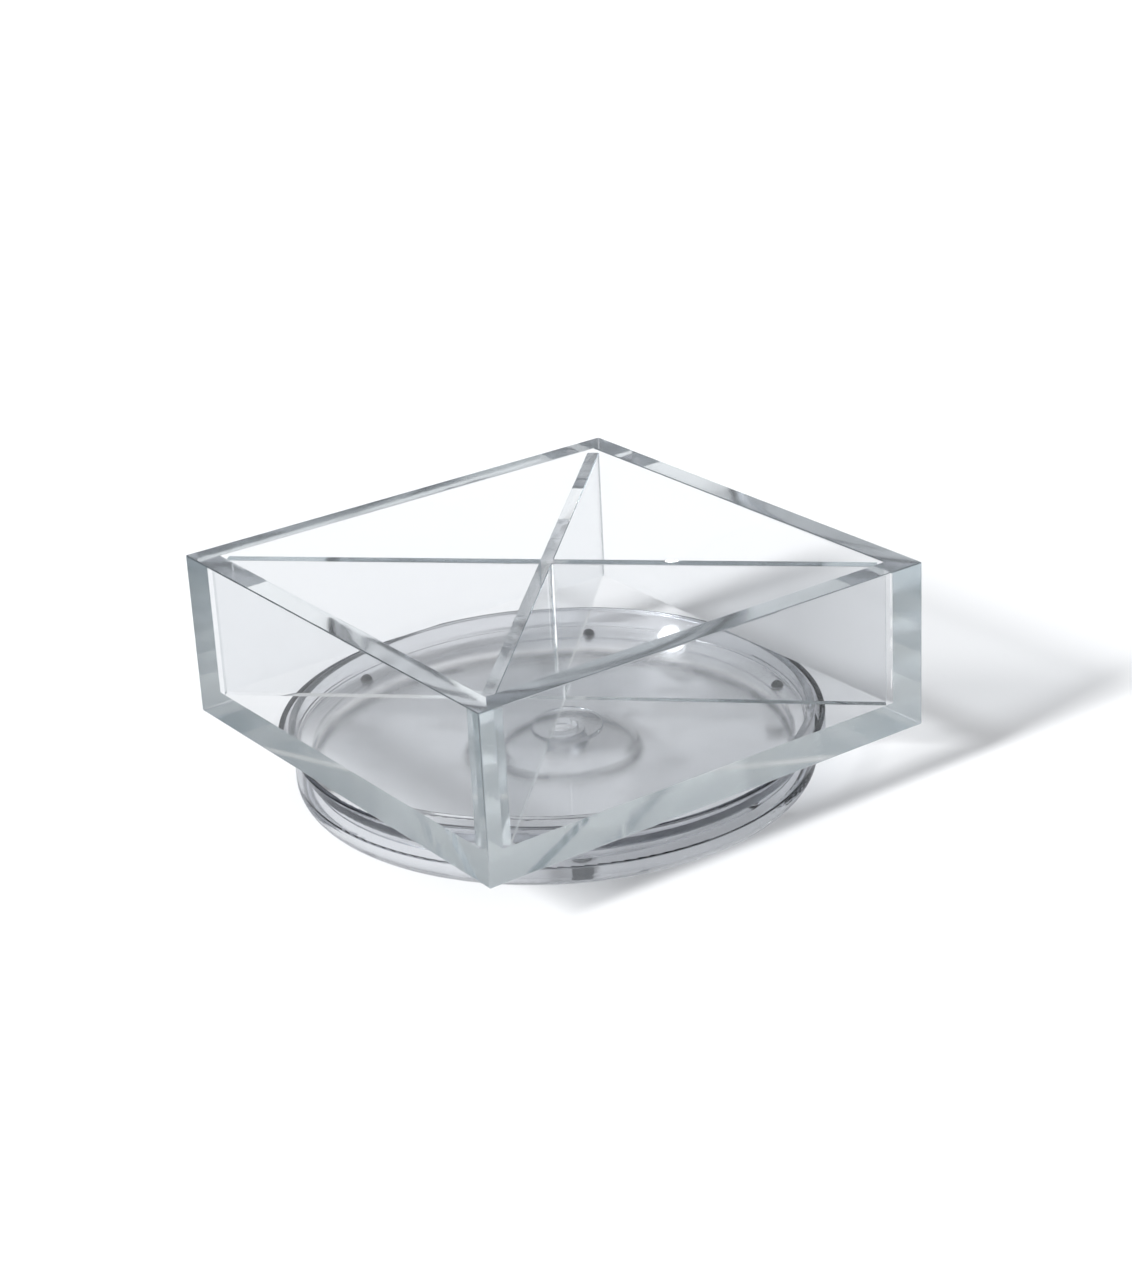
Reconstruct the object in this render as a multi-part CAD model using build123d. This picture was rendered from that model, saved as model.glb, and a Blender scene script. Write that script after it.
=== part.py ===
from build123d import *
from build123d.topology import SkipClean

import os
from math import sqrt

# A square tray of clear acrylic with two crossed dividers, on a clear ball-bearing turntable.
# Millimetres, +Z up. The origin lies on the table, on the turntable's axis.
# The tray's walls run along X and Y.

# Tray, cut from two thicknesses of sheet.
TRAY_SIDE = 200.0
TRAY_HEIGHT = 66.0
SHEET = 10.0
DIVIDER_SHEET = 5.0
DIVIDER_DROP = 1.2  # from the rim down to the dividers' tops
DIVIDER_GAP = 0.05  # from a divider's square end to the walls that it meets
EDGE_RADIUS = 0.5  # polished edges of the thick sheet
DIVIDER_EDGE_RADIUS = 0.3

# Turntable.
TURNTABLE_HEIGHT = 24.0  # from the table to the tray's underside
DISC_RADIUS = 97.5
DISC_PLATE = 2.6
DISC_RIM_WIDTH = 3.0  # the raised rim that carries the tray
CEMENT_FILM = 0.05  # between the disc's raised rim and the tray
DISH_RADIUS = 101.5
DISH_WALL = 2.2
DISH_FLOOR = 2.4
DISH_BOTTOM_Z = 1.0  # the dish's underside, which its feet hold off the table
DISH_RIM_Z = 22.6
DISH_ROUND = 8.5  # between the dish's side and its underside
DISH_RIM_ROUND = 1.05
PLATFORM_RADIUS = 30.0
PLATFORM_TOP_Z = 7.0  # the raised middle of the dish's floor
TRACK_INSIDE_RADIUS = 88.5  # inner edge of the dish's thick outer ring, which the balls roll on

# Ball race, between two flat faces.
BALL_COUNT = 6
BALL_RADIUS = 2.5
BALL_CIRCLE_RADIUS = 92.0
BALL_CENTRE_Z = 12.0
FIRST_BALL_ANGLE = 15.0  # degrees from +X
BALL_CLEARANCE = 0.1
CAGE_THICKNESS = 0.8
CAGE_WIDTH = 6.4

# Pivot.
PIN_RADIUS = 6.0
PIN_FLANGE_RADIUS = 16.0
PIN_FLANGE = 2.0
PIN_FIT = 0.08  # radial clearance of the pin in the dish's hub
HUB_RADIUS = 9.0
HUB_TOP_Z = 11.0
STUB_RADIUS = 4.0
STUB_LENGTH = 2.4
WASHER_RADIUS = 9.0
WASHER_THICKNESS = 1.4
WASHER_DROP = 0.3  # play between the washer and the hub

# Moulded corners.
MOULD_ROUND = 1.5  # where two broad faces meet
BREAK_ROUND = 0.5  # on small edges

# Feet.
FOOT_COUNT = 4
FOOT_RADIUS = 4.0
FOOT_HEIGHT = 2.0
FOOT_CIRCLE_RADIUS = 83.5
FIRST_FOOT_ANGLE = -30.0

FLOOR_BOTTOM_Z = TURNTABLE_HEIGHT
FLOOR_TOP_Z = FLOOR_BOTTOM_Z + SHEET
RIM_Z = FLOOR_BOTTOM_Z + TRAY_HEIGHT
HOLLOW_SIDE = TRAY_SIDE - 2 * SHEET
DIVIDER_TOP_Z = RIM_Z - DIVIDER_DROP
# A square end stops where its two upright edges reach the walls, short of the corner by half its thickness.
DIVIDER_LENGTH = HOLLOW_SIDE * sqrt(2) - DIVIDER_SHEET - 2 * DIVIDER_GAP * sqrt(2)
DIVIDER_ANGLES = {"long_divider": -45.0, "cross_divider": 45.0}
DISC_UNDERSIDE_Z = BALL_CENTRE_Z + BALL_RADIUS + BALL_CLEARANCE
TRACK_Z = BALL_CENTRE_Z - BALL_RADIUS - BALL_CLEARANCE
RECESS_TOP_Z = PLATFORM_TOP_Z - DISH_FLOOR  # the hollow under the platform, which takes the washer
SHOULDER_Z = RECESS_TOP_Z - WASHER_DROP


def upright_box(length, width, low, high, x=0.0, y=0.0, angle=0.0):
    """A box between two heights, centred on (x, y) and turned about Z."""
    place = Pos(x, y, (low + high) / 2) * Rot(0, 0, angle)
    return place * Box(length, width, high - low)


def turned(corners):
    """A solid of revolution about Z. Each corner of its outline is (radius, height, rounding)."""
    outline = make_face(Polyline(*[(radius, height) for radius, height, _ in corners], close=True))
    for radius, height, rounding in corners:
        if rounding > 0:
            corner = outline.vertices().sort_by_distance((radius, height))[0]
            outline = fillet(corner, rounding)
    return revolve(Plane.XZ * outline, Axis.Z)


def around(count, first_angle, radius):
    """Places evenly spaced on a circle about Z."""
    return [Rot(0, 0, first_angle + i * 360 / count) * Pos(radius, 0, 0) for i in range(count)]


def tray_shell():
    """The walls and floor as one piece, with every open edge rounded."""
    block = upright_box(TRAY_SIDE, TRAY_SIDE, FLOOR_BOTTOM_Z, RIM_Z)
    block = fillet(block.edges(), EDGE_RADIUS)
    shell = block - upright_box(HOLLOW_SIDE, HOLLOW_SIDE, FLOOR_TOP_Z, RIM_Z)
    mouth = shell.edges().filter_by_position(Axis.Z, RIM_Z, RIM_Z)
    mouth = mouth.filter_by(lambda edge: abs(edge.length - HOLLOW_SIDE) < EDGE_RADIUS)
    return fillet(mouth, EDGE_RADIUS)


def divider_bar(angle):
    """One divider before its slot is cut, with its two long top edges rounded."""
    bar = upright_box(DIVIDER_LENGTH, DIVIDER_SHEET, FLOOR_TOP_Z, DIVIDER_TOP_Z)
    top_edges = bar.edges().filter_by(Axis.X).group_by(Axis.Z)[-1]
    return Rot(0, 0, angle) * fillet(top_edges, DIVIDER_EDGE_RADIUS)


def sheet_spaces():
    """The space that each sheet of the tray takes. The dividers' slots meet half-way up."""
    wall_middle = (HOLLOW_SIDE + SHEET) / 2
    lap_z = (FLOOR_TOP_Z + DIVIDER_TOP_Z) / 2
    spaces = {
        "tray_floor": upright_box(TRAY_SIDE, TRAY_SIDE, FLOOR_BOTTOM_Z, FLOOR_TOP_Z),
        "front_wall": upright_box(TRAY_SIDE, SHEET, FLOOR_TOP_Z, RIM_Z, y=-wall_middle),
        "back_wall": upright_box(TRAY_SIDE, SHEET, FLOOR_TOP_Z, RIM_Z, y=wall_middle),
        "left_wall": upright_box(SHEET, HOLLOW_SIDE, FLOOR_TOP_Z, RIM_Z, x=-wall_middle),
        "right_wall": upright_box(SHEET, HOLLOW_SIDE, FLOOR_TOP_Z, RIM_Z, x=wall_middle),
    }
    slots = {"long_divider": (FLOOR_TOP_Z, lap_z), "cross_divider": (lap_z, DIVIDER_TOP_Z)}
    for name, angle in DIVIDER_ANGLES.items():
        bar = upright_box(DIVIDER_LENGTH, DIVIDER_SHEET, FLOOR_TOP_Z, DIVIDER_TOP_Z, angle=angle)
        spaces[name] = bar - upright_box(DIVIDER_SHEET, DIVIDER_SHEET, *slots[name], angle=angle)
    return spaces


def top_disc():
    """A flat disc that rides on the balls, with a raised rim that carries the tray."""
    plate_top = DISC_UNDERSIDE_Z + DISC_PLATE
    rim_top = TURNTABLE_HEIGHT - CEMENT_FILM
    rim_inside = DISC_RADIUS - DISC_RIM_WIDTH
    corners = [
        (0.0, DISC_UNDERSIDE_Z, 0.0),
        (DISC_RADIUS, DISC_UNDERSIDE_Z, MOULD_ROUND),
        (DISC_RADIUS, rim_top, BREAK_ROUND),
        (rim_inside, rim_top, BREAK_ROUND),
        (rim_inside, plate_top, MOULD_ROUND),
        (0.0, plate_top, 0.0),
    ]
    return turned(corners)


def base_dish():
    """A dish with a thin side over a thick ring for the balls, and a raised middle with the pin's hub."""
    floor_top = DISH_BOTTOM_Z + DISH_FLOOR
    recess_radius = PLATFORM_RADIUS - DISH_WALL
    wall_inside = DISH_RADIUS - DISH_WALL
    bore = PIN_RADIUS + PIN_FIT
    corners = [
        (bore, RECESS_TOP_Z, 0.0),
        (recess_radius, RECESS_TOP_Z, MOULD_ROUND),
        (recess_radius, DISH_BOTTOM_Z, BREAK_ROUND),
        (DISH_RADIUS, DISH_BOTTOM_Z, DISH_ROUND),
        (DISH_RADIUS, DISH_RIM_Z, DISH_RIM_ROUND),
        (wall_inside, DISH_RIM_Z, DISH_RIM_ROUND),
        (wall_inside, TRACK_Z, MOULD_ROUND),
        (TRACK_INSIDE_RADIUS, TRACK_Z, MOULD_ROUND),
        (TRACK_INSIDE_RADIUS, floor_top, MOULD_ROUND),
        (PLATFORM_RADIUS, floor_top, MOULD_ROUND),
        (PLATFORM_RADIUS, PLATFORM_TOP_Z, MOULD_ROUND),
        (HUB_RADIUS, PLATFORM_TOP_Z, MOULD_ROUND),
        (HUB_RADIUS, HUB_TOP_Z, BREAK_ROUND),
        (bore, HUB_TOP_Z, BREAK_ROUND),
    ]
    dish = turned(corners)
    pocket = Pos(0, 0, FOOT_HEIGHT / 2) * Cylinder(FOOT_RADIUS, FOOT_HEIGHT)
    for place in around(FOOT_COUNT, FIRST_FOOT_ANGLE, FOOT_CIRCLE_RADIUS):
        dish = dish - place * pocket
    return dish


def pivot_pin():
    """The pin, with a flange under the disc and a thinner stub for the washer."""
    flange_bottom = DISC_UNDERSIDE_Z - PIN_FLANGE
    stub_end = SHOULDER_Z - STUB_LENGTH
    corners = [
        (0.0, stub_end, 0.0),
        (STUB_RADIUS, stub_end, BREAK_ROUND),
        (STUB_RADIUS, SHOULDER_Z, 0.0),
        (PIN_RADIUS, SHOULDER_Z, 0.0),
        (PIN_RADIUS, flange_bottom, BREAK_ROUND),
        (PIN_FLANGE_RADIUS, flange_bottom, BREAK_ROUND),
        (PIN_FLANGE_RADIUS, DISC_UNDERSIDE_Z, 0.0),
        (0.0, DISC_UNDERSIDE_Z, 0.0),
    ]
    return turned(corners)


def retaining_washer():
    washer_bottom = SHOULDER_Z - WASHER_THICKNESS
    corners = [
        (STUB_RADIUS, washer_bottom, 0.0),
        (WASHER_RADIUS, washer_bottom, BREAK_ROUND),
        (WASHER_RADIUS, SHOULDER_Z, BREAK_ROUND),
        (STUB_RADIUS, SHOULDER_Z, 0.0),
    ]
    return turned(corners)


def cemented_parts():
    """Everything that turns with the tray, cut from one body so that cemented faces meet exactly.

    Nothing is tidied between the cuts, so a face that is partly cemented stays divided at the joint's edge.
    """
    turning = {"top_disc": top_disc(), "pivot_pin": pivot_pin(), "retaining_washer": retaining_washer()}
    bars = [divider_bar(angle) for angle in DIVIDER_ANGLES.values()]
    with SkipClean():
        body = tray_shell()
        for piece in [*bars, *turning.values()]:
            body = body + piece
        return {name: body & space for name, space in {**sheet_spaces(), **turning}.items()}


def ball_cage():
    """A flat ring with a round pocket for each ball."""
    outside = BALL_CIRCLE_RADIUS + CAGE_WIDTH / 2
    ring = Cylinder(outside, CAGE_THICKNESS) - Cylinder(outside - CAGE_WIDTH, CAGE_THICKNESS)
    for place in around(BALL_COUNT, FIRST_BALL_ANGLE, BALL_CIRCLE_RADIUS):
        ring = ring - place * Cylinder(BALL_RADIUS + BALL_CLEARANCE, CAGE_THICKNESS)
    return Pos(0, 0, BALL_CENTRE_Z) * ring


def ball(place):
    return place * Pos(0, 0, BALL_CENTRE_Z) * Sphere(BALL_RADIUS)


def foot(place):
    """A round rubber pad with a rounded lower edge."""
    pad = Cylinder(FOOT_RADIUS, FOOT_HEIGHT)
    pad = fillet(pad.edges().sort_by(Axis.Z)[0], FOOT_HEIGHT / 4)
    return place * Pos(0, 0, FOOT_HEIGHT / 2) * pad


def numbered(name, make, places):
    return {f"{name}_{i}": make(place) for i, place in enumerate(places, start=1)}


def all_parts():
    parts = cemented_parts()
    parts["base_dish"] = base_dish()
    parts["ball_cage"] = ball_cage()
    parts.update(numbered("bearing_ball", ball, around(BALL_COUNT, FIRST_BALL_ANGLE, BALL_CIRCLE_RADIUS)))
    parts.update(numbered("foot", foot, around(FOOT_COUNT, FIRST_FOOT_ANGLE, FOOT_CIRCLE_RADIUS)))
    return parts


os.makedirs("parts", exist_ok=True)
for node, shape in all_parts().items():
    export_step(shape, f"parts/{node}.step")
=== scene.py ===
import random
from math import cos, pi, radians, sin

import bpy
from mathutils import Matrix, Vector
from mathutils.bvhtree import BVHTree


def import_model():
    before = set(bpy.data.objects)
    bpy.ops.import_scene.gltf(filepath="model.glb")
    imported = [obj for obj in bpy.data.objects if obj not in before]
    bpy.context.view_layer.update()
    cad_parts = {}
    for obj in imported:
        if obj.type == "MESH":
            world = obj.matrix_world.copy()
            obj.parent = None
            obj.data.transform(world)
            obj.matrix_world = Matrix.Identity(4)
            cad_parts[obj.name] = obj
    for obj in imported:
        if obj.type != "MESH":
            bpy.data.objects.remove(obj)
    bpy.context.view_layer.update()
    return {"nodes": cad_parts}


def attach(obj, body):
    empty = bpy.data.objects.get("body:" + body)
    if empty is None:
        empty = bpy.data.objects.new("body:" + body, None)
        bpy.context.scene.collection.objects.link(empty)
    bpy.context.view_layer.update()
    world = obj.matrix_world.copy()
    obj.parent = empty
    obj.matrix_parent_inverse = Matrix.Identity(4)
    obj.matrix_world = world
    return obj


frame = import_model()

NODES = frame["nodes"]
UP = Vector((0, 0, 1))

# Lengths are in metres. The tray is cemented from acrylic sheets, and turns on a styrene turntable.
SHEETS = [
    "tray_floor", "front_wall", "back_wall", "left_wall", "right_wall", "long_divider", "cross_divider"]
TURNING = ["top_disc", "pivot_pin", "retaining_washer"]
WALL_CORNER = 0.0896  # from the tray's middle to just inside two walls' inner faces, along X and along Y
CROSSING_CORNER = 0.0040  # from the tray's middle, along X, to just outside the dividers' inside corner
TRAY_FLOOR_Z = 0.034
DISH_SIDE_RADIUS = 0.091  # beyond this, whatever isn't level on the dish is its side, which gets a darker copy of the styrene as painted shade

# Material slots of a cemented piece, and how its polygons are told apart.
FACE, EDGE, ROUND, JOINT = range(4)
PROBE = 0.00005  # how far in front of a polygon a neighbour is looked for
FLAT = 0.95  # least cosine between a polygon's normal and an axis that it faces along

# Clear plastic.
ACRYLIC_IOR = 1.49
STYRENE_IOR = 1.59
SHINE_FALLOFF = 1.5  # a power of the Fresnel share, which weakens faint reflections and keeps total ones
WAVE_DETAIL = 2.0
SMEAR_SCALE = 60.0
SMEAR_DETAIL = 4.0
SMEAR_FROM = 0.45  # the noise's value where a face starts to be smeared
SMEAR_TO = 0.75

# What a face lets through of a lamp's light: an upright sheet's, its edge's, and a thin or level one's.
WALL_SHADE = (0.80, 0.805, 0.81)
EDGE_SHADE = (0.45, 0.455, 0.46)
LEVEL_SHADE = (0.985, 0.987, 0.99)

# Other materials.
GRAIN_DETAIL = 3.0
GRAIN_STRENGTH = 0.4

# Beads of dried cement.
BEAD_RINGS = 6
BEAD_SIDES = 8
BEAD_END = 0.45  # a bead's thickness at its ends, as a part of its thickness in the middle
CEMENT_SEED = 4

# Stage. Angles are in degrees.
STAGE_HALF = 20.0
STAGE_DROP = 0.0001
STAGE_COLOUR = (0.86, 0.87, 0.88)
SUN_HEADING = -86.0
SUN_HEIGHT = 32.0
SUN_SPREAD = 10.0
SUN_STRENGTH = 4.2
LAMP_AT = Vector((-1.567, 1.261, 0.861))
LAMP_TARGET = Vector((0.0, 0.0, 0.03))
LAMP_SIZE = 0.03
LAMP_POWER = 0.22
HORIZON_COLOUR = (0.72, 0.725, 0.73)
HORIZON_POSITION = 0.45
OVERHEAD_COLOUR = (0.52, 0.52, 0.53)
OVERHEAD_POSITION = 0.8

# Camera.
CAMERA_AT = Vector((0.8027, -0.5556, 0.4677))
CAMERA_LOOK = Vector((-0.75443, 0.52903, -0.38855))
CAMERA_ROLL = radians(-3.09)
CAMERA_LENS = 77.7  # in millimetres, like the sensor's height
CAMERA_SENSOR = 36.0
CAMERA_NEAR = 0.01


# ---------------------------------------------------------------- nodes

def rgba(colour):
    return (*colour, 1.0)


def new_material(name):
    mat = bpy.data.materials.new(name)
    mat.use_nodes = True
    mat.node_tree.nodes.clear()
    return mat, mat.node_tree


def add(tree, kind, **values):
    """Adds a node, and sets its properties by name or its inputs by socket name."""
    node = tree.nodes.new(kind)
    for key, value in values.items():
        if hasattr(node, key):
            setattr(node, key, value)
        else:
            node.inputs[key.replace("_", " ")].default_value = value
    return node


def link(tree, source, socket):
    tree.links.new(source, socket)


def set_surface(tree, shader):
    out = add(tree, "ShaderNodeOutputMaterial")
    link(tree, shader.outputs[0], out.inputs["Surface"])


def noise(tree, scale, detail):
    """Noise that is fixed to the object."""
    coords = add(tree, "ShaderNodeTexCoord")
    texture = add(tree, "ShaderNodeTexNoise", Scale=scale, Detail=detail)
    link(tree, coords.outputs["Object"], texture.inputs["Vector"])
    return texture.outputs["Fac"]


def tones(tree, value, first_colour, last_colour):
    """A ramp from one colour to another by a value."""
    ramp = add(tree, "ShaderNodeValToRGB")
    first, last = ramp.color_ramp.elements
    first.color = rgba(first_colour)
    last.color = rgba(last_colour)
    link(tree, value, ramp.inputs["Fac"])
    return ramp


def bumps(tree, value, strength, height):
    bump = add(tree, "ShaderNodeBump", Strength=strength, Distance=height)
    link(tree, value, bump.inputs["Height"])
    return bump.outputs["Normal"]


def pane(tree, colour):
    return add(tree, "ShaderNodeBsdfTransparent", Color=rgba(colour))


def mix(tree, share, first, second):
    """Two shaders, of which the second gets the share."""
    node = add(tree, "ShaderNodeMixShader")
    link(tree, share, node.inputs[0])
    link(tree, first.outputs[0], node.inputs[1])
    link(tree, second.outputs[0], node.inputs[2])
    return node


# ---------------------------------------------------------------- materials

def clear_plastic(name, ior, tint, mirror_tint, blur, mirror_blur, shade, wave_height, wave_scale):
    """Clear plastic to the camera, and a tinted pane to lamps and to light bounced off matt things.

    Light takes the tint each time it crosses a face, and the mirror tint each time a face turns it back, so
    long paths through the plastic come out darker and cooler. A lamp's light takes the shade instead. The
    roughness lies between the two ends of blur, and reflections add up to mirror_blur to it.
    """
    mat, tree = new_material(name)
    normal = bumps(tree, noise(tree, wave_scale, WAVE_DETAIL), 1.0, wave_height)
    smear = add(tree, "ShaderNodeMapRange", From_Min=SMEAR_FROM, From_Max=SMEAR_TO)
    link(tree, noise(tree, SMEAR_SCALE, SMEAR_DETAIL), smear.inputs["Value"])
    smear.inputs["To Min"].default_value = blur[0]
    smear.inputs["To Max"].default_value = blur[1]

    fresnel = add(tree, "ShaderNodeFresnel", IOR=ior)
    turned_back = add(tree, "ShaderNodeMath", operation="POWER")
    link(tree, fresnel.outputs["Fac"], turned_back.inputs[0])
    turned_back.inputs[1].default_value = SHINE_FALLOFF
    mirror_rough = add(tree, "ShaderNodeMath", operation="MULTIPLY_ADD")
    link(tree, fresnel.outputs["Fac"], mirror_rough.inputs[0])
    mirror_rough.inputs[1].default_value = mirror_blur
    link(tree, smear.outputs["Result"], mirror_rough.inputs[2])

    crossing = add(tree, "ShaderNodeBsdfRefraction", IOR=ior, Color=rgba(tint))
    link(tree, smear.outputs["Result"], crossing.inputs["Roughness"])
    mirror = add(tree, "ShaderNodeBsdfAnisotropic", Color=rgba(mirror_tint))
    link(tree, mirror_rough.outputs["Value"], mirror.inputs["Roughness"])
    for bumped in (fresnel, crossing, mirror):
        link(tree, normal, bumped.inputs["Normal"])
    plastic = mix(tree, turned_back.outputs["Value"], crossing, mirror)

    tinted = pane(tree, shade)
    path = add(tree, "ShaderNodeLightPath")
    plastic = mix(tree, path.outputs["Is Diffuse Ray"], plastic, tinted)
    plastic = mix(tree, path.outputs["Is Shadow Ray"], plastic, tinted)
    set_surface(tree, plastic)
    return mat


def cement_joint():
    """A face cemented to its neighbour, which light crosses unbent.

    A lamp's light that crosses one runs along inside a wall, where it spreads, so it casts a shade.
    """
    mat, tree = new_material("cement_joint")
    path = add(tree, "ShaderNodeLightPath")
    through = pane(tree, (1.0, 1.0, 1.0))
    shaded = pane(tree, (0.4, 0.405, 0.41))
    set_surface(tree, mix(tree, path.outputs["Is Shadow Ray"], through, shaded))
    return mat


def speckled(name, grain_scale, dark, light, grain_height=0.0, **values):
    """A solid material whose colour varies finely between two tones."""
    mat, tree = new_material(name)
    grain = noise(tree, grain_scale, GRAIN_DETAIL)
    shader = add(tree, "ShaderNodeBsdfPrincipled", **values)
    link(tree, tones(tree, grain, dark, light).outputs["Color"], shader.inputs["Base Color"])
    if grain_height > 0:
        link(tree, bumps(tree, grain, GRAIN_STRENGTH, grain_height), shader.inputs["Normal"])
    set_surface(tree, shader)
    return mat


face = clear_plastic(
    "acrylic_face", ACRYLIC_IOR,
    tint=(0.948, 0.951, 0.955), mirror_tint=(0.930, 0.941, 0.946), blur=(0.0, 0.015), mirror_blur=0.06,
    shade=WALL_SHADE, wave_height=0.000002, wave_scale=8.0)
floor_face = clear_plastic(
    "acrylic_floor_face", ACRYLIC_IOR,
    tint=(0.980, 0.981, 0.983), mirror_tint=(0.936, 0.946, 0.950), blur=(0.0, 0.015), mirror_blur=0.10,
    shade=LEVEL_SHADE, wave_height=0.000002, wave_scale=8.0)
polished_edge = clear_plastic(
    "acrylic_polished_edge", ACRYLIC_IOR,
    tint=(0.97, 0.972, 0.975), mirror_tint=(0.90, 0.910, 0.916), blur=(0.0, 0.03), mirror_blur=0.06,
    shade=EDGE_SHADE, wave_height=0.00006, wave_scale=130.0)
satin_edge = clear_plastic(
    "acrylic_satin_edge", ACRYLIC_IOR,
    tint=(0.94, 0.945, 0.95), mirror_tint=(0.90, 0.912, 0.918), blur=(0.03, 0.09), mirror_blur=0.10,
    shade=EDGE_SHADE, wave_height=0.00001, wave_scale=90.0)
rounded = clear_plastic(
    "acrylic_rounded_edge", ACRYLIC_IOR,
    tint=(0.88, 0.888, 0.90), mirror_tint=(0.82, 0.83, 0.845), blur=(0.0, 0.05), mirror_blur=0.05,
    shade=EDGE_SHADE, wave_height=0.00001, wave_scale=200.0)
joint = cement_joint()
moulded = clear_plastic(
    "moulded_styrene", STYRENE_IOR,
    tint=(0.990, 0.990, 0.991), mirror_tint=(0.90, 0.905, 0.912), blur=(0.14, 0.26), mirror_blur=0.0,
    shade=LEVEL_SHADE, wave_height=0.00002, wave_scale=25.0)
dish_plastic = clear_plastic(
    "dish_styrene", STYRENE_IOR,
    tint=(0.985, 0.986, 0.988), mirror_tint=(0.86, 0.866, 0.876), blur=(0.0, 0.01), mirror_blur=0.0,
    shade=LEVEL_SHADE, wave_height=0.00002, wave_scale=25.0)
# The dish's side is its styrene with darker tints: painted shade for the dark surroundings that it sees
# edge-on.
shaded_dish_side = clear_plastic(
    "dish_side_styrene_painted_shade", STYRENE_IOR,
    tint=(0.885, 0.890, 0.902), mirror_tint=(0.74, 0.748, 0.765), blur=(0.0, 0.01), mirror_blur=0.0,
    shade=LEVEL_SHADE, wave_height=0.00002, wave_scale=25.0)
# The steel is much darker than steel is: painted shade standing in for the dark surroundings that the balls
# reflect.
steel_painted_dark = speckled(
    "steel_ball", 900.0, (0.02, 0.02, 0.021), (0.07, 0.07, 0.073),
    Metallic=1.0, Roughness=0.08)
rubber = speckled(
    "foot_rubber", 1400.0, (0.40, 0.41, 0.42), (0.60, 0.61, 0.62),
    grain_height=0.0002, Roughness=0.5, Transmission_Weight=0.6)
# White, chalky residue, with a painted glow: its emission stands in for the light that runs along inside
# the sheets.
glowing_cement = speckled(
    "dried_cement_painted_glow", 2500.0, (0.90, 0.905, 0.91), (0.99, 0.99, 0.99),
    Roughness=0.6, Emission_Strength=0.35, Emission_Color=(1.0, 1.0, 1.0, 1.0))


# ---------------------------------------------------------------- the object

def set_materials(node, mats):
    mesh = NODES[node].data
    mesh.materials.clear()
    for mat in mats:
        mesh.materials.append(mat)


def inside(tree, point):
    """True if the point is inside the closed mesh that the tree holds."""
    near, normal, _, _ = tree.find_nearest(point)
    return near is not None and (point - near).dot(normal) < 0


def main_normal(mesh):
    """The direction that most of a sheet's surface faces."""
    widest = max(mesh.polygons, key=lambda polygon: polygon.area)
    return widest.normal.copy()


def cemented_materials(name):
    """A cemented piece's materials for its faces, edges, roundings and joints."""
    if name in TURNING:
        return [moulded, moulded, moulded, joint]
    if name == "tray_floor":
        return [floor_face, satin_edge, rounded, joint]
    if name == "cross_divider":
        return [face, face, face, joint]
    return [face, polished_edge, rounded, joint]


def polygon_kind(polygon, flat, neighbours):
    """The slot of a polygon's material. A polygon that lies on a neighbour is part of a joint."""
    probe = polygon.center + polygon.normal * PROBE
    if any(inside(neighbour, probe) for neighbour in neighbours):
        return JOINT
    leans = [abs(polygon.normal.dot(axis)) for axis in (flat, UP)]
    if any(1 - FLAT < lean < FLAT for lean in leans):
        return ROUND
    return FACE if leans[0] > FLAT else EDGE


def paint_cemented_pieces():
    graph = bpy.context.evaluated_depsgraph_get()
    trees = {name: BVHTree.FromObject(NODES[name], graph) for name in SHEETS + TURNING}
    for name in trees:
        set_materials(name, cemented_materials(name))
        neighbours = [tree for other, tree in trees.items() if other != name]
        mesh = NODES[name].data
        flat = main_normal(mesh)
        for polygon in mesh.polygons:
            polygon.material_index = polygon_kind(polygon, flat, neighbours)


def paint_dish():
    set_materials("base_dish", [dish_plastic, shaded_dish_side])
    # The side's polygons take the darker copy, the painted shade.
    for polygon in NODES["base_dish"].data.polygons:
        if polygon.center.xy.length > DISH_SIDE_RADIUS and abs(polygon.normal.z) < FLAT:
            polygon.material_index = 1


def bead(verts, faces, centre, length, thick):
    """Adds an upright spindle, thickest in its middle, to a mesh's lists."""
    first = len(verts)
    for ring in range(BEAD_RINGS + 1):
        along = ring / BEAD_RINGS
        radius = thick * (BEAD_END + (1 - BEAD_END) * sin(pi * along))
        for step in range(BEAD_SIDES):
            turn = 2 * pi * step / BEAD_SIDES
            verts.append(centre + Vector((radius * cos(turn), radius * sin(turn), length * (along - 0.5))))
    for ring in range(BEAD_RINGS):
        for step in range(BEAD_SIDES):
            a = first + ring * BEAD_SIDES + step
            b = first + ring * BEAD_SIDES + (step + 1) % BEAD_SIDES
            faces.append((a, b, b + BEAD_SIDES, a + BEAD_SIDES))
    last = first + BEAD_RINGS * BEAD_SIDES
    faces.append(tuple(reversed(range(first, first + BEAD_SIDES))))
    faces.append(tuple(range(last, last + BEAD_SIDES)))


def cement_beads(name, x, y, high, low, first_length, lengths, gaps, thicknesses):
    """Residue of cement down an upright inside corner, in broken lengths."""
    verts, faces = [], []
    draws = random.Random(CEMENT_SEED)
    z = high
    length = first_length
    while z - length > low:
        bead(verts, faces, Vector((x, y, z - length / 2)), length, draws.uniform(*thicknesses))
        z -= length + draws.uniform(*gaps)
        length = draws.uniform(*lengths)
    mesh = bpy.data.meshes.new(name)
    mesh.from_pydata(verts, [], faces)
    for polygon in mesh.polygons:
        polygon.use_smooth = True
    # The beads carry the residue's white and its painted glow.
    mesh.materials.append(glowing_cement)
    beads = bpy.data.objects.new(name, mesh)
    bpy.context.scene.collection.objects.link(beads)
    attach(beads, "tray")


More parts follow.
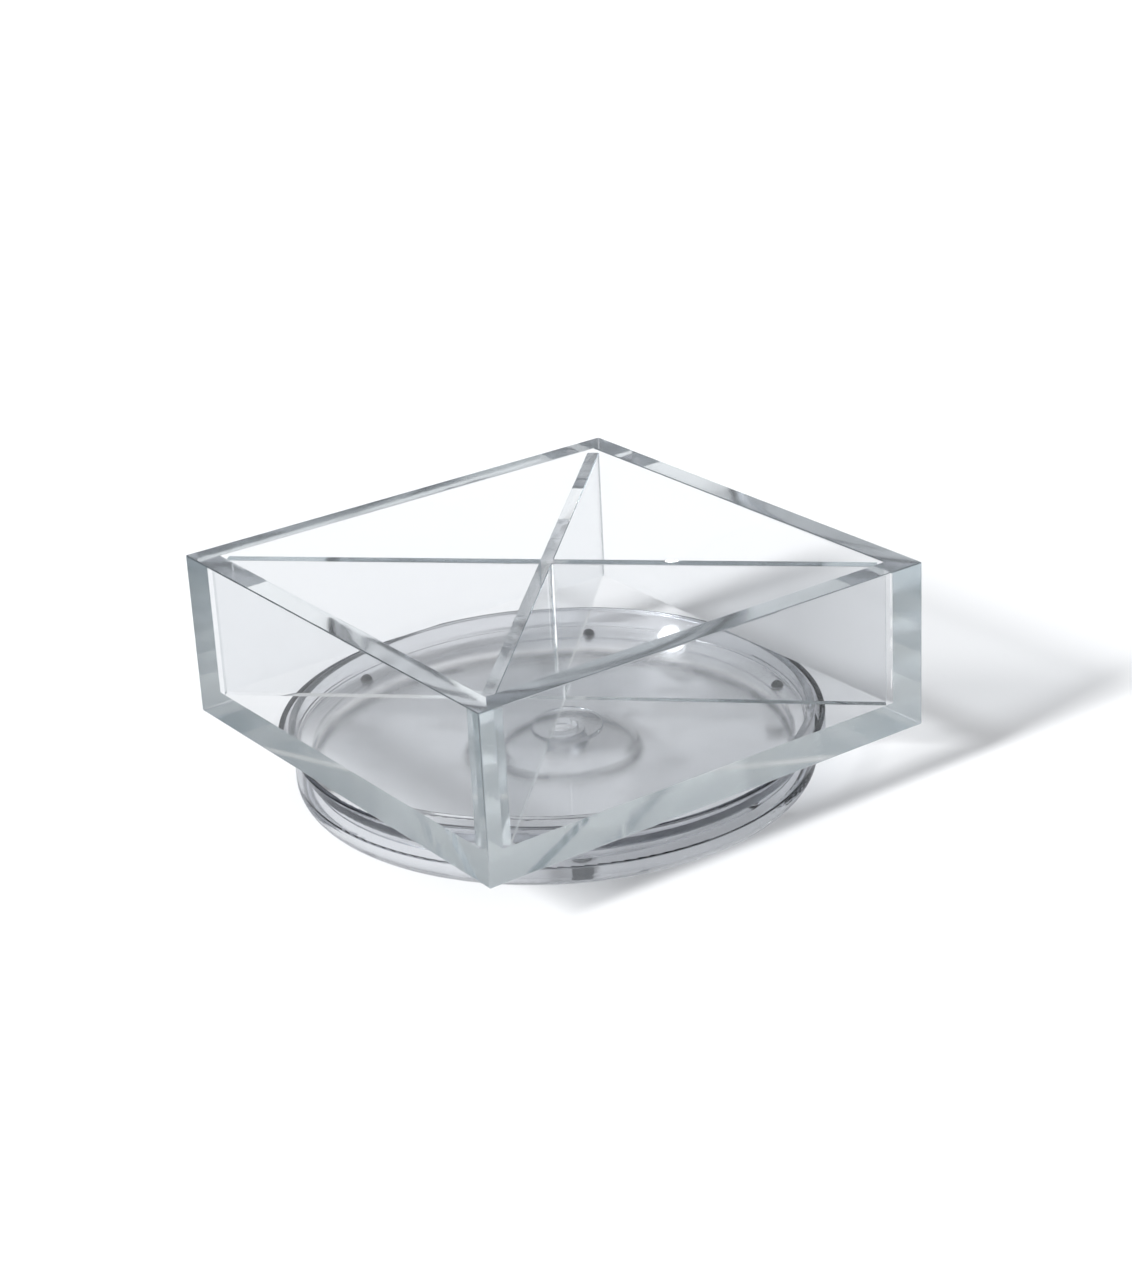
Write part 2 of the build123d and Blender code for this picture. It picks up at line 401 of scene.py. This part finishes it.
paint_cemented_pieces()
paint_dish()
set_materials("ball_cage", [moulded])
for name in NODES:
    if name.startswith("bearing_ball"):
        set_materials(name, [steel_painted_dark])
    if name.startswith("foot"):
        set_materials(name, [rubber])
cement_beads(
    "corner_cement", WALL_CORNER, WALL_CORNER, high=0.089, low=TRAY_FLOOR_Z,
    first_length=0.016, lengths=(0.002, 0.010), gaps=(0.003, 0.009), thicknesses=(0.00016, 0.00028))
cement_beads(
    "crossing_cement", CROSSING_CORNER, 0.0, high=0.0885, low=0.046,
    first_length=0.024, lengths=(0.006, 0.016), gaps=(0.0002, 0.0008), thicknesses=(0.00030, 0.00045))


# ---------------------------------------------------------------- floor, light, camera

def stage_floor():
    mesh = bpy.data.meshes.new("floor")
    corners = [(-1, -1), (1, -1), (1, 1), (-1, 1)]
    mesh.from_pydata([(STAGE_HALF * x, STAGE_HALF * y, 0) for x, y in corners], [], [(0, 1, 2, 3)])
    floor = bpy.data.objects.new("floor", mesh)
    floor.location.z = -STAGE_DROP
    bpy.context.scene.collection.objects.link(floor)
    mat, tree = new_material("floor")
    shader = add(tree, "ShaderNodeBsdfPrincipled", Roughness=0.9, Specular_IOR_Level=0.1)
    shader.inputs["Base Color"].default_value = rgba(STAGE_COLOUR)
    set_surface(tree, shader)
    mesh.materials.append(mat)


def place_light(data, rotation, at=(0, 0, 0)):
    light = bpy.data.objects.new(data.name, data)
    light.location = at
    light.rotation_euler = rotation.to_euler()
    bpy.context.scene.collection.objects.link(light)


def soft_sun():
    """A soft distant lamp, so that the whole floor is lit alike."""
    data = bpy.data.lights.new("key", "SUN")
    data.angle = radians(SUN_SPREAD)
    data.energy = SUN_STRENGTH
    heading = radians(SUN_HEADING)
    height = radians(SUN_HEIGHT)
    towards = Vector((cos(heading) * cos(height), sin(heading) * cos(height), sin(height)))
    place_light(data, towards.to_track_quat("Z", "Y"))


def small_lamp():
    """A small bright lamp behind the object, for the highlights on its level faces."""
    data = bpy.data.lights.new("sparkle", "AREA")
    data.shape = "DISK"
    data.size = LAMP_SIZE
    data.energy = LAMP_POWER
    place_light(data, (LAMP_TARGET - LAMP_AT).to_track_quat("-Z", "Y"), LAMP_AT)


def world():
    sky = bpy.data.worlds.new("studio")
    bpy.context.scene.world = sky
    sky.use_nodes = True
    tree = sky.node_tree
    tree.nodes.clear()
    coords = add(tree, "ShaderNodeTexCoord")
    parts = add(tree, "ShaderNodeSeparateXYZ")
    link(tree, coords.outputs["Generated"], parts.inputs[0])
    ramp = tones(tree, parts.outputs["Z"], HORIZON_COLOUR, OVERHEAD_COLOUR)
    horizon, overhead = ramp.color_ramp.elements
    horizon.position = HORIZON_POSITION
    overhead.position = OVERHEAD_POSITION
    back = add(tree, "ShaderNodeBackground", Strength=1.0)
    link(tree, ramp.outputs["Color"], back.inputs["Color"])
    out = add(tree, "ShaderNodeOutputWorld")
    link(tree, back.outputs[0], out.inputs["Surface"])


def camera():
    data = bpy.data.cameras.new("camera")
    data.sensor_fit = "VERTICAL"
    data.sensor_height = CAMERA_SENSOR
    data.lens = CAMERA_LENS
    data.clip_start = CAMERA_NEAR
    cam = bpy.data.objects.new("camera", data)
    look = CAMERA_LOOK.to_track_quat("-Z", "Y").to_matrix()
    turn = (look @ Matrix.Rotation(CAMERA_ROLL, 3, "Z")).to_4x4()
    cam.matrix_world = Matrix.Translation(CAMERA_AT) @ turn
    bpy.context.scene.collection.objects.link(cam)
    bpy.context.scene.camera = cam


stage_floor()
world()
soft_sun()
small_lamp()
camera()

# Light crosses and re-crosses the plastic many times before it gets out.
scene = bpy.context.scene
scene.view_settings.view_transform = "Standard"
scene.cycles.max_bounces = 40
scene.cycles.transmission_bounces = 40
scene.cycles.glossy_bounces = 24
scene.cycles.transparent_max_bounces = 48
